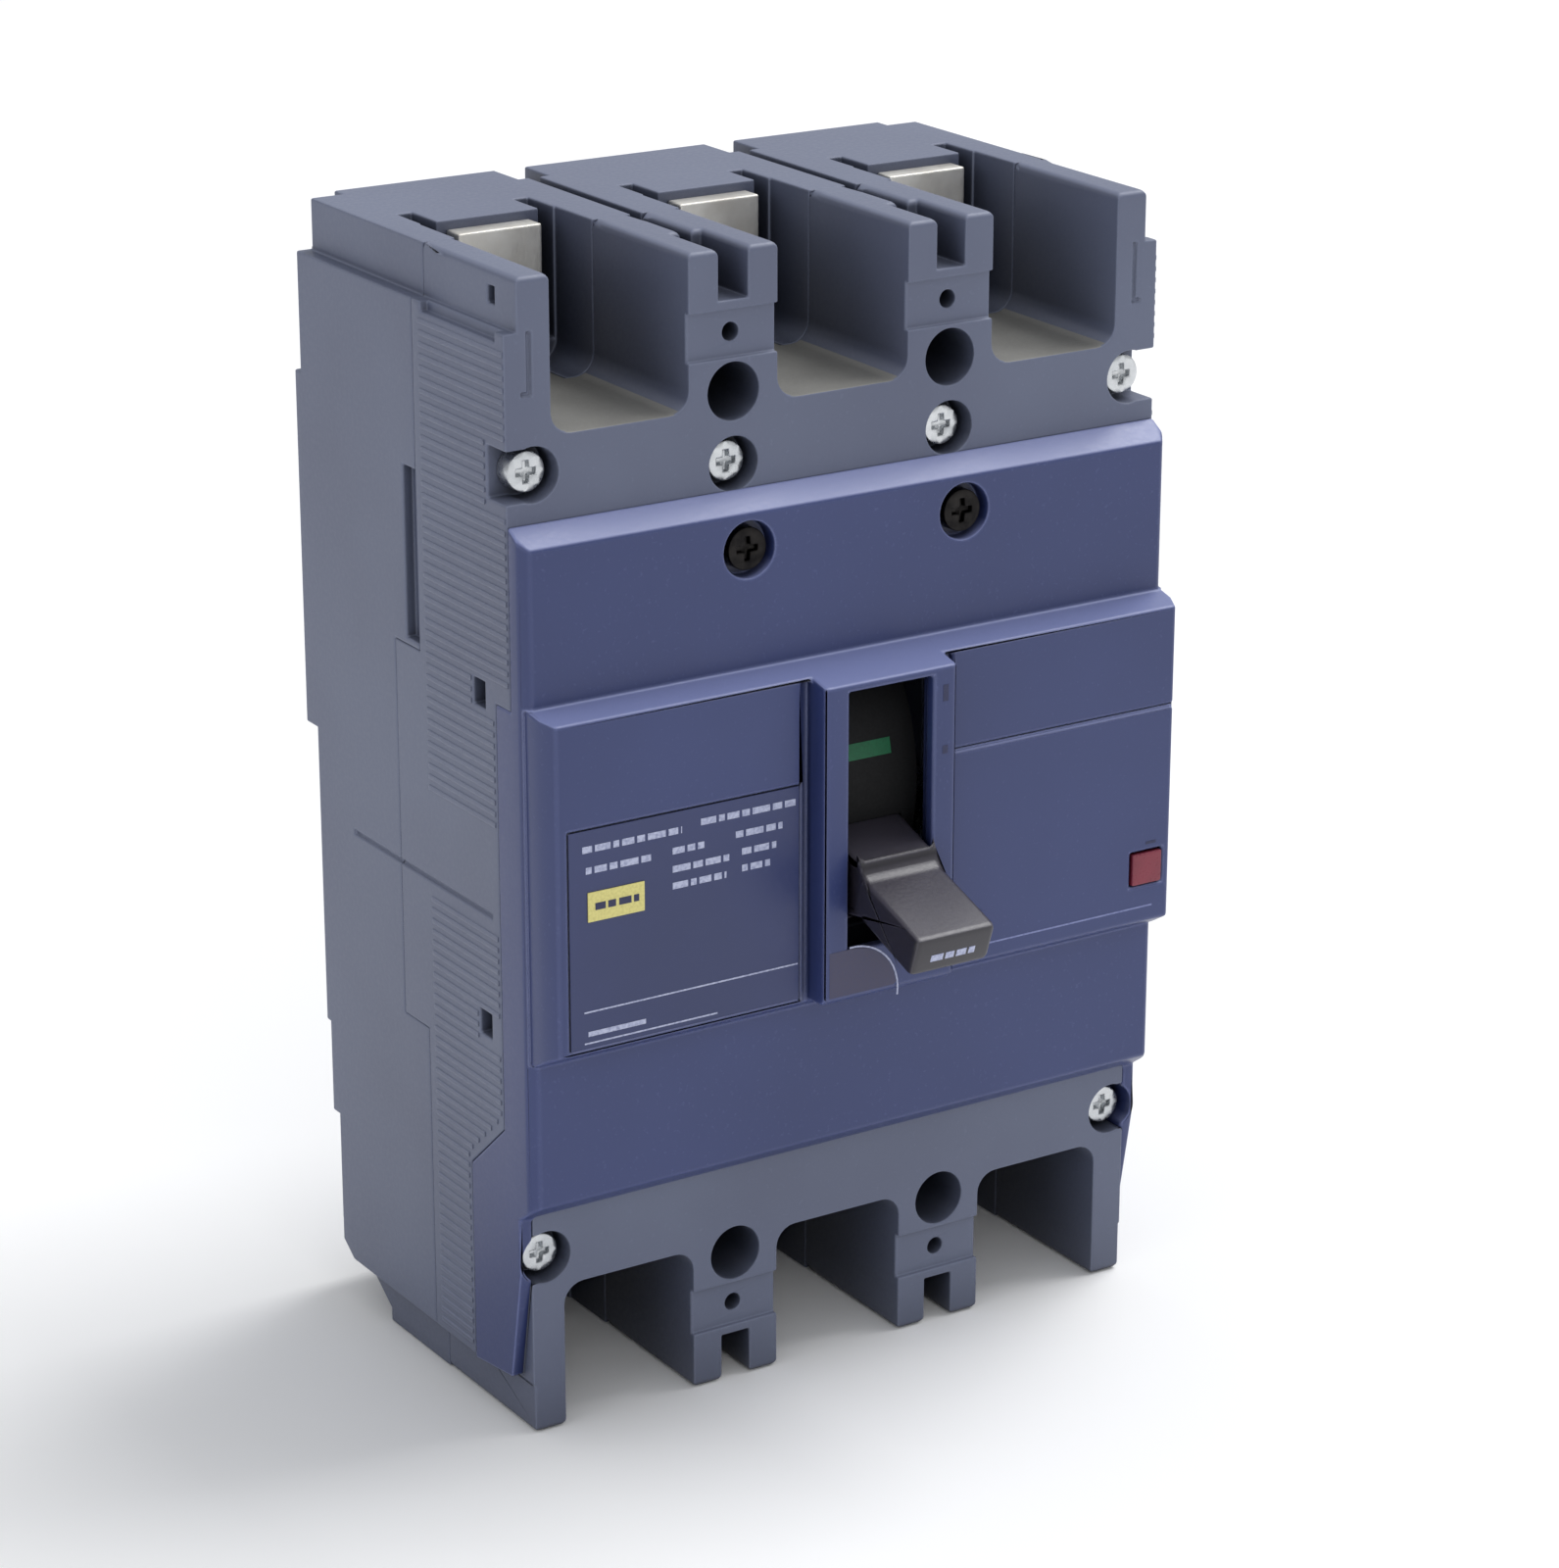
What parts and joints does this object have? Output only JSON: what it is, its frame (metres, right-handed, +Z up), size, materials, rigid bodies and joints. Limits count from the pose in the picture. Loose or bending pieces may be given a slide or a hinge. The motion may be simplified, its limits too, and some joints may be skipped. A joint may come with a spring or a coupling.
{
  "type": "molded case circuit breaker",
  "caption": "Three-pole molded case breaker with a toggle handle, trip button and recessed screw terminals at both ends.",
  "frame": {"origin": "Centre of the flat rear face of the case, on the panel it is fixed to.", "axes": "+Z up the height of the case towards the line terminals, +X to the right seen from the front, the front with the toggle faces -Y."},
  "size_m": [0.105, 0.0889, 0.165],
  "materials": {
    "case_moulding": "grey glass-filled polyester moulding, satin",
    "cover_moulding": "blue moulding, satin",
    "label_foil": "printed label",
    "badge_ink": "yellow printed patch",
    "zinc_steel": "bright zinc plate",
    "black_steel": "black oxide",
    "spring_steel": "drawn wire",
    "toggle_moulding": "dark grey moulding",
    "black_moulding": "black moulding",
    "button_moulding": "red moulding",
    "tinned_copper": "tin plate on copper",
    "copper_braid": "bare copper wire",
    "contact_copper": "bare copper",
    "silver_contact": "silver alloy",
    "moulded_bar": "ivory moulding",
    "dark_bar": "dark phenolic moulding",
    "bimetal_strip": "rolled strip",
    "magnet_iron": "soft iron",
    "fibre_board": "vulcanised fibre"
  },
  "bodies": {
    "case": {"base_case": "case_moulding", "mid_cover": "case_moulding", "front_cover": "cover_moulding", "rating_label": "label_foil", "rating_badge": "badge_ink", "cover_screws": "zinc_steel", "front_cover_screws": "black_steel", "trip_button_spring": "spring_steel", "line_conductor_1": "tinned_copper", "line_conductor_2": "tinned_copper", "line_conductor_3": "tinned_copper", "load_conductor_1": "tinned_copper", "load_conductor_2": "tinned_copper", "load_conductor_3": "tinned_copper", "terminal_nuts": "zinc_steel", "fixed_contacts": "silver_contact", "cradle_shaft": "zinc_steel", "mechanism_plate_left": "zinc_steel", "mechanism_plate_right": "zinc_steel", "mechanism_screws": "zinc_steel", "bimetal_1": "bimetal_strip", "bimetal_2": "bimetal_strip", "bimetal_3": "bimetal_strip", "magnet_yoke_1": "magnet_iron", "magnet_yoke_2": "magnet_iron", "magnet_yoke_3": "magnet_iron", "armature_pins": "zinc_steel", "arc_chute_1": "fibre_board", "arc_chute_2": "fibre_board", "arc_chute_3": "fibre_board", "arc_plates_1": "zinc_steel", "arc_plates_2": "zinc_steel", "arc_plates_3": "zinc_steel", "flexible_braid_1": "copper_braid", "flexible_braid_2": "copper_braid", "flexible_braid_3": "copper_braid"},
    "handle": {"toggle_handle": "toggle_moulding", "handle_yoke": "zinc_steel", "slot_shutter": "black_moulding", "main_springs": "spring_steel"},
    "crossbar": {"crossbar": "dark_bar", "contact_arm_1": "contact_copper", "contact_arm_2": "contact_copper", "contact_arm_3": "contact_copper", "moving_contacts": "silver_contact", "crossbar_pin": "zinc_steel"},
    "lower_link": {"lower_links": "zinc_steel"},
    "cradle": {"cradle": "zinc_steel", "cradle_pin": "zinc_steel"},
    "upper_link": {"upper_links": "zinc_steel", "knee_pins": "zinc_steel"},
    "trip_bar": {"trip_bar": "moulded_bar"},
    "trip_button": {"trip_button": "button_moulding"},
    "armature_1": {"armature_1": "magnet_iron"},
    "armature_2": {"armature_2": "magnet_iron"},
    "armature_3": {"armature_3": "magnet_iron"}
  },
  "joints": [
    {"name": "handle_throw", "type": "hinge", "parent": "case", "child": "handle", "pos_m": [0, -0.04, 0.005], "axis": [-1, 0, 0], "range_deg": [-5, 38], "deforming": ["main_springs"]},
    {"name": "crossbar_turn", "type": "hinge", "parent": "case", "child": "crossbar", "pos_m": [0, -0.028, -0.006], "axis": [-1, 0, 0], "range_deg": [-4, 28.5], "deforming": ["flexible_braid_1", "flexible_braid_2", "flexible_braid_3"]},
    {"name": "lower_link_turn", "type": "hinge", "parent": "crossbar", "child": "lower_link", "pos_m": [0, -0.01888, 0.00015], "axis": [-1, 0, 0], "range_deg": [-63, 8.5]},
    {"name": "trip_bar_turn", "type": "hinge", "parent": "case", "child": "trip_bar", "pos_m": [0, -0.027, -0.033], "axis": [-1, 0, 0], "range_deg": [0, 8], "stiffness_Nm_per_rad": 0.15},
    {"name": "cradle_turn", "type": "hinge", "parent": "case", "child": "cradle", "pos_m": [0, -0.009, 0.026], "axis": [-1, 0, 0], "range_deg": [0, 8]},
    {"name": "upper_link_turn", "type": "hinge", "parent": "cradle", "child": "upper_link", "pos_m": [0, -0.017, 0.02], "axis": [-1, 0, 0], "range_deg": [-4, 27.5]},
    {"name": "trip_button_press", "type": "slide", "parent": "case", "child": "trip_button", "axis": [0, 1, 0], "range_m": [0, 0.0025], "deforming": ["trip_button_spring"]},
    {"name": "armature_1_turn", "type": "hinge", "parent": "case", "child": "armature_1", "pos_m": [-0.035, -0.0238, -0.044], "axis": [1, 0, 0], "range_deg": [0, 5], "stiffness_Nm_per_rad": 0.01},
    {"name": "armature_2_turn", "type": "hinge", "parent": "case", "child": "armature_2", "pos_m": [0, -0.0238, -0.044], "axis": [1, 0, 0], "range_deg": [0, 5], "stiffness_Nm_per_rad": 0.01},
    {"name": "armature_3_turn", "type": "hinge", "parent": "case", "child": "armature_3", "pos_m": [0.035, -0.0238, -0.044], "axis": [1, 0, 0], "range_deg": [0, 5], "stiffness_Nm_per_rad": 0.01}
  ],
  "couplings": [
    {"joint": "crossbar_turn", "follows": "handle_throw", "ratio": 0.7368},
    {"joint": "lower_link_turn", "follows": "handle_throw", "ratio": -1.647},
    {"joint": "upper_link_turn", "follows": "handle_throw", "ratio": 0.7105},
    {"joint": "cradle_turn", "follows": "trip_bar_turn", "ratio": 1},
    {"joint": "trip_button_press", "follows": "trip_bar_turn", "m_per_rad": 0.0179}
  ]
}
